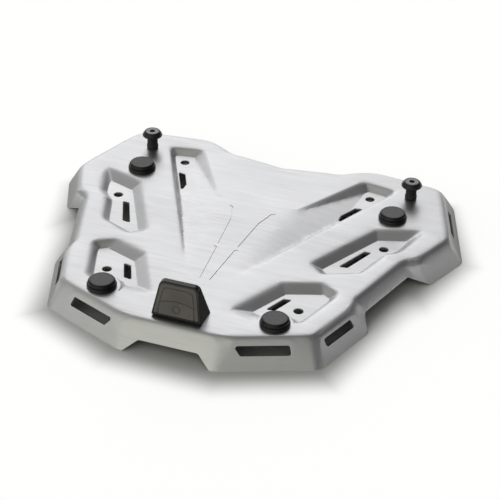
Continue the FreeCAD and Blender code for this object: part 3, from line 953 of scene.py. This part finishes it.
@dataclass
class RubberPads:
    """Four round pads that the case sits on.

    Each table is the radius and height of its rings in millimetres, from the foot up. Zero is the top face.
    """

    stem: Rings = ((2.7, -9.1), (5.6, -4.3), (5.6, -3.1), (3.9, -3.1), (3.9, 0.0))
    base: Rings = ((13.5, 0.0), (13.5, 2.0), (13.1, 2.7))
    groove: Rings = ((12.1, 3.2), (12.6, 3.7))
    shoulder: Rings = ((12.6, 4.6), (12.1, 5.6), (11.1, 6.55), (10.5, 6.8))
    disc_line: Rings = ((10.3, 6.8), (10.1, 6.6), (9.9, 6.8))
    rounding: Rounding = Rounding(0.3, sharp=16.0)

    def build(self, finishes: Finishes) -> None:
        """Models one pad and sets a copy at each node's place.

        Args:
            finishes: The material of each slot.
        """
        rings = (*self.stem, *self.base, *self.groove, *self.shoulder, *self.disc_line)
        model = Workshop.turned("pad_model", rings)
        Workshop.soften(model, self.rounding)
        for node, place in pad_places().items():
            piece = Workshop.copy_at(model, "rubber_" + node, (*place, TOP_FACE))
            Workshop.settle(piece, Slot.RUBBER, finishes, node)
        bpy.data.objects.remove(model)


@dataclass
class LockStuds:
    """Two mushroom studs with their countersunk screws.

    Lengths are in millimetres. The foot's rings are radius and height, the head's are radius and drop from
    the top.
    """

    line: float = 124.1
    spacing: float = 135.0
    height: float = 18.6
    bore: float = 4.2
    sink: float = 6.8
    foot: Rings = ((4.2, 0.0), (4.8, 0.0), (5.8, 1.0), (5.8, 3.4), (5.3, 4.2))
    head: Rings = ((5.3, 7.2), (6.1, 6.4), (9.1, 5.4), (9.9, 4.6), (9.9, 3.8), (9.0, 1.9), (7.4, 0.0))
    stud_rounding: Rounding = Rounding(0.5, sharp=14.0, crisp=45.0)
    shank: float = 4.0
    screw_low: float = -14.1
    screw_point: Step = (0.9, 0.85)
    crest_gap: float = 0.05
    thread_depth: float = 0.55
    pitch: float = 1.25
    turns: int = 2
    run_out: float = 0.4
    screw_head: float = 6.6
    head_edge: float = 0.2
    socket: float = 5.0
    socket_depth: float = 4.5
    screw_rounding: Rounding = Rounding(0.12, sharp=28.0, segments=2)

    def build(self, finishes: Finishes) -> None:
        """Models one stud and one screw and sets a copy on each side.

        Args:
            finishes: The material of each slot.
        """
        stud = self._stud()
        screw = self._screw()
        screws = []
        for side, sign in (("left", -1.0), ("right", 1.0)):
            place = (sign * self.spacing, self.line, TOP_FACE)
            piece = Workshop.copy_at(stud, "lock_stud_" + side, place)
            Workshop.settle(piece, Slot.BLACK_METAL, finishes, "stud_" + side)
            screws.append(Workshop.copy_at(screw, "socket_screw_" + side, place))
        bpy.data.objects.remove(stud)
        bpy.data.objects.remove(screw)
        pair, other = screws
        Workshop.only(pair)
        other.select_set(True)
        bpy.ops.object.join()
        pair.name = "socket_screws"
        Workshop.settle(pair, Slot.DARK_STEEL, finishes, "stud_screws")

    def _stud(self) -> Piece:
        """Raises a stud from its foot to its head and back down its bore.

        Returns:
            The stud, standing at the origin.
        """
        top = self.height
        head = [(radius, top - drop) for radius, drop in self.head]
        bore = [(self.sink, top), (self.bore, top - self.sink + self.bore), (self.bore, 0.0)]
        stud = Workshop.turned("stud_model", [*self.foot, *head, *bore], bored=True)
        Workshop.soften(stud, self.stud_rounding)
        return stud

    def _screw(self) -> Piece:
        """Raises a screw from its threaded end to its head and sinks its socket.

        Returns:
            The screw, standing at the origin.
        """
        top = self.height
        crest = self.shank - self.crest_gap
        root = self.shank - self.thread_depth
        level = self.screw_low + self.screw_point[1]
        steps = [(self.shank - self.screw_point[0], self.screw_low), (crest, level)]
        for _ in range(self.turns):
            steps.append((root, level + self.pitch / 2.0))
            level += self.pitch
            steps.append((crest, level))
        neck = top - self.screw_head + self.shank - self.head_edge
        steps += [(self.shank, level + self.run_out), (self.shank, neck),
                  (self.screw_head, top - self.head_edge), (self.screw_head - self.head_edge, top)]
        screw = Workshop.turned("screw_model", steps)
        Workshop.sink_hexagon(screw, self.socket, top, self.socket_depth)
        Workshop.soften(screw, self.screw_rounding)
        return screw


@dataclass(frozen=True)
class CopiedPiece:
    """A piece that is copied from its node and only gets rounded edges and its finish."""

    node: str
    name: str
    slot: Slot
    rounding: Rounding

    def build(self, finishes: Finishes) -> None:
        """Copies the node, rounds its edges and dresses it.

        Args:
            finishes: The material of each slot.
        """
        piece = Workshop.merged_copy(self.node, self.name)
        Workshop.soften(piece, self.rounding)
        Workshop.settle(piece, self.slot, finishes, self.node)


FASTENERS = {"stud_washers": Slot.ZINC, "stud_nuts": Slot.ZINC, "catch_washers": Slot.ZINC,
             "catch_screws": Slot.DARK_STEEL}
COPIES = (
    CopiedPiece("catch_body", "catch_block", Slot.BLACK_PLASTIC, Rounding(1.0)),
    CopiedPiece("catch_panel", "catch_front_panel", Slot.GREY_PLASTIC, Rounding(0.16, segments=2)),
    *(CopiedPiece(node, node + "_set", slot, Rounding(0.2, segments=2)) for node, slot in FASTENERS.items()))


@dataclass(frozen=True)
class Lobe:
    """Soft light from one side of the surround.

    The level is its brightness at the middle. The spread is the power of its fall-off, higher for a smaller
    light.
    """

    toward: Point
    level: float
    spread: float

    def shine(self, sheet: NodeSheet, place: Socket) -> Socket:
        """Draws the light's share of the surround.

        Args:
            sheet: The world's node sheet.
            place: Direction looked at.

        Returns:
            The brightness in that direction.
        """
        along = sheet.add("ShaderNodeVectorMath", operation="DOT_PRODUCT")
        along.inputs[1].default_value = Vector(self.toward).normalized()
        sheet.link(place, along.inputs[0])
        ahead = sheet.maths("MAXIMUM", along.outputs["Value"], 0.0)
        return sheet.maths("MULTIPLY", sheet.maths("POWER", ahead, self.spread), self.level)


@dataclass
class Studio:
    """Floor, light and camera.

    The fades are distances in metres from the plate's outline, where the floor's glow starts and is full.
    Holding the glow back near the plate paints a shadow zone round it, and paints shade into the floor that
    the plate reflects.
    """

    floor_size: float = 30.0
    floor_tone: Colour = (0.82, 0.82, 0.82)
    floor_glow: float = 0.70
    eye_shadow_fade: Step = (-0.014, 0.022)
    fade_blend: float = 0.04
    mirror_shade_fade: Step = (0.0, 0.35)
    shadow_lean: Step = (-0.02, 0.08)
    ceiling: float = 0.065
    far: Lobe = Lobe((-0.38, 0.815, 0.438), level=1.2, spread=8.0)
    front: Lobe = Lobe((-0.313, -0.816, 0.485), level=0.58, spread=2.7)
    front_tint: Colour = (1.0, 1.0, 0.88)
    left: Lobe = Lobe((-1.0, 0.0, 0.1), level=0.18, spread=2.0)
    right: Lobe = Lobe((0.95, -0.1, 0.25), level=0.05, spread=2.0)
    horizon_level: float = 0.3
    horizon_spread: float = 9.0
    key_place: Point = (-0.38, 1.03, 1.9)
    key_size: float = 1.2
    key_power: float = 1.2
    camera_place: Point = (0.43227, -1.21823, 0.84399)
    yaw: float = -18.926
    pitch: float = 32.880
    roll: float = 1.449
    focal_pixels: float = 1644.04
    image_pixels: float = 500.0
    sensor: float = 36.0
    clip_end: float = 100.0

    def build(self) -> None:
        """Sets the whole studio."""
        self._floor()
        self._world()
        self._key_light()
        self._camera()
        bpy.context.scene.view_settings.view_transform = "Standard"

    def _floor(self) -> None:
        """A pale floor that stays white to the eye, keeps the shadow and is clear when seen from below. Its
        glow fades out near the plate, which paints a shadow zone round it; the shade inside that zone is the
        real diffuse shading.
        """
        bpy.ops.object.select_all(action="DESELECT")
        bpy.ops.mesh.primitive_plane_add(size=self.floor_size, location=(0.0, 0.0, 0.0))
        floor = bpy.context.active_object
        floor.name = "studio_floor"
        material = bpy.data.materials.new("studio_floor")
        material.use_nodes = True
        sheet = NodeSheet(material.node_tree)
        sheet.tree.nodes.clear()
        matte = sheet.add("ShaderNodeBsdfDiffuse", Color=(*self.floor_tone, 1.0))
        glow = sheet.add("ShaderNodeEmission", Color=(1.0, 1.0, 1.0, 1.0))
        path = sheet.add("ShaderNodeLightPath")
        away = self._away(sheet)
        # Painted shadow: the glow that the camera sees fades out near the plate.
        eye = sheet.maths("MULTIPLY", path.outputs["Is Camera Ray"], self._fade(sheet, away, self.eye_shadow_fade))
        glass = sheet.maths("MAXIMUM", path.outputs["Is Glossy Ray"], path.outputs["Is Transmission Ray"])
        # Painted shade: the glow that reflections see fades out near the plate.
        mirror = sheet.maths("MULTIPLY", glass, self._fade(sheet, away, self.mirror_shade_fade))
        sheet.link(sheet.maths("MAXIMUM", eye, mirror), glow.inputs["Strength"])
        both = sheet.add("ShaderNodeAddShader")
        sheet.link(matte.outputs["BSDF"], both.inputs[0])
        sheet.link(glow.outputs["Emission"], both.inputs[1])
        clear = sheet.add("ShaderNodeBsdfTransparent")
        below = sheet.add("ShaderNodeNewGeometry").outputs["Backfacing"]
        mix = sheet.add("ShaderNodeMixShader")
        sheet.link(sheet.maths("MULTIPLY", below, path.outputs["Is Camera Ray"]), mix.inputs["Fac"])
        sheet.link(both.outputs["Shader"], mix.inputs[1])
        sheet.link(clear.outputs["BSDF"], mix.inputs[2])
        out = sheet.add("ShaderNodeOutputMaterial")
        sheet.link(mix.outputs["Shader"], out.inputs["Surface"])
        floor.data.materials.append(material)

    def _fade(self, sheet: NodeSheet, away: Socket, reach: Step) -> Socket:
        """Level of the floor's glow, rising away from the plate."""
        return sheet.remap(away, reach[0], reach[1], 0.0, self.floor_glow)

    def _away(self, sheet: NodeSheet) -> Socket:
        """Distance from the plate's footprint on the floor, longer towards the light, so that the painted
        shadow zone lies away from the light.

        Args:
            sheet: The floor's node sheet.

        Returns:
            The distance in metres, below zero under the plate.
        """
        place = sheet.split(sheet.place())
        across = sheet.maths("ABSOLUTE", place["X"])
        blocks = []
        for sides in Footprint().blocks:
            outside = -1.0
            for wide, deep, limit in sides:
                along = sheet.shares(across, wide, place["Y"], deep)
                outside = sheet.maths("MAXIMUM", sheet.maths("SUBTRACT", along, limit * MM), outside)
            blocks.append(outside)
        joined = sheet.add("ShaderNodeMath", operation="SMOOTH_MIN")
        joined.inputs[2].default_value = self.fade_blend
        for block, socket in zip(blocks, joined.inputs):
            sheet.link(block, socket)
        lean = sheet.shares(place["X"], self.shadow_lean[0], place["Y"], self.shadow_lean[1])
        return sheet.maths("ADD", joined.outputs[0], lean)

    def _world(self) -> None:
        """Dim surround with a large light behind on the left and softer ones in front and at the sides."""
        world = bpy.data.worlds.new("studio_world")
        bpy.context.scene.world = world
        world.use_nodes = True
        sheet = NodeSheet(world.node_tree)
        background = sheet.tree.nodes["Background"]
        place = sheet.add("ShaderNodeTexCoord").outputs["Generated"]
        lobes = (self.far, self.left, self.right, self.front)
        far, left, right, front = (lobe.shine(sheet, place) for lobe in lobes)
        level = sheet.maths("SUBTRACT", 1.0, sheet.maths("ABSOLUTE", sheet.split(place)["Z"]))
        band = sheet.maths("MULTIPLY", sheet.maths("POWER", level, self.horizon_spread), self.horizon_level)
        sides = sheet.maths("ADD", sheet.maths("ADD", left, right), band)
        neutral = sheet.maths("ADD", sheet.maths("ADD", far, sides), self.ceiling)
        shade = sheet.add("ShaderNodeCombineColor")
        for socket, share in zip(shade.inputs, self.front_tint):
            sheet.link(sheet.maths("ADD", neutral, sheet.maths("MULTIPLY", front, share)), socket)
        sheet.link(shade.outputs["Color"], background.inputs["Color"])
        background.inputs["Strength"].default_value = 1.0

    def _key_light(self) -> None:
        """One soft box high behind on the left, turned to the plate."""
        lamp = bpy.data.lights.new("key_softbox", "AREA")
        lamp.shape = "SQUARE"
        lamp.size = self.key_size
        lamp.energy = self.key_power
        holder = bpy.data.objects.new("key_softbox", lamp)
        holder.location = self.key_place
        holder.rotation_euler = (-Vector(self.key_place)).to_track_quat("-Z", "Y").to_euler()
        bpy.context.scene.collection.objects.link(holder)

    def _camera(self) -> None:
        """Camera at the photograph's place and angle."""
        yaw, pitch, roll = (math.radians(angle) for angle in (self.yaw, self.pitch, self.roll))
        ahead = Vector((math.sin(yaw) * math.cos(pitch), math.cos(yaw) * math.cos(pitch), -math.sin(pitch)))
        right = Vector((math.cos(yaw), -math.sin(yaw), 0.0))
        up = right.cross(ahead)
        across = right * math.cos(roll) + up * math.sin(roll)
        upward = up * math.cos(roll) - right * math.sin(roll)
        turn = Matrix((across, upward, -ahead)).transposed().to_4x4()
        data = bpy.data.cameras.new("photo_camera")
        data.sensor_width = self.sensor
        data.lens = self.focal_pixels / self.image_pixels * self.sensor
        data.clip_end = self.clip_end
        holder = bpy.data.objects.new("photo_camera", data)
        holder.matrix_world = Matrix.Translation(self.camera_place) @ turn
        bpy.context.scene.collection.objects.link(holder)
        bpy.context.scene.camera = holder


def main() -> None:
    """Builds every piece and the studio."""
    logging.basicConfig(level=logging.INFO)
    looks = (
        PlainFinish(Slot.BLACK_METAL, tone=(0.010, 0.010, 0.011), light_tone=(0.018, 0.018, 0.019),
                    edge_tone=(0.05, 0.05, 0.052), rough=(0.26, 0.38)),
        PlainFinish(Slot.BLACK_PLASTIC, tone=(0.008, 0.008, 0.008), light_tone=(0.013, 0.013, 0.013),
                    edge_tone=(0.025, 0.025, 0.025), rough=(0.16, 0.24), grain_scale=1400.0),
        PlainFinish(Slot.GREY_PLASTIC, tone=(0.150, 0.138, 0.124), light_tone=(0.190, 0.176, 0.160),
                    edge_tone=(0.28, 0.26, 0.24), rough=(0.50, 0.62), grain_scale=1500.0,
                    grain_depth=0.00010),
        PlainFinish(Slot.DARK_STEEL, tone=(0.22, 0.22, 0.227), light_tone=(0.31, 0.31, 0.318),
                    edge_tone=(0.42, 0.42, 0.42), rough=(0.28, 0.40), metallic=0.8),
        PlainFinish(Slot.ZINC, tone=(0.55, 0.56, 0.57), light_tone=(0.65, 0.66, 0.67),
                    edge_tone=(0.75, 0.75, 0.75), rough=(0.30, 0.42), metallic=1.0),
        BrushedAluminium(), PadRubber())
    finishes = {look.slot: look.material() for look in looks}
    for piece in (PressedPlate(), RubberPads(), LockStuds(), *COPIES):
        piece.build(finishes)
    Studio().build()


if __name__ == "__main__":
    main()
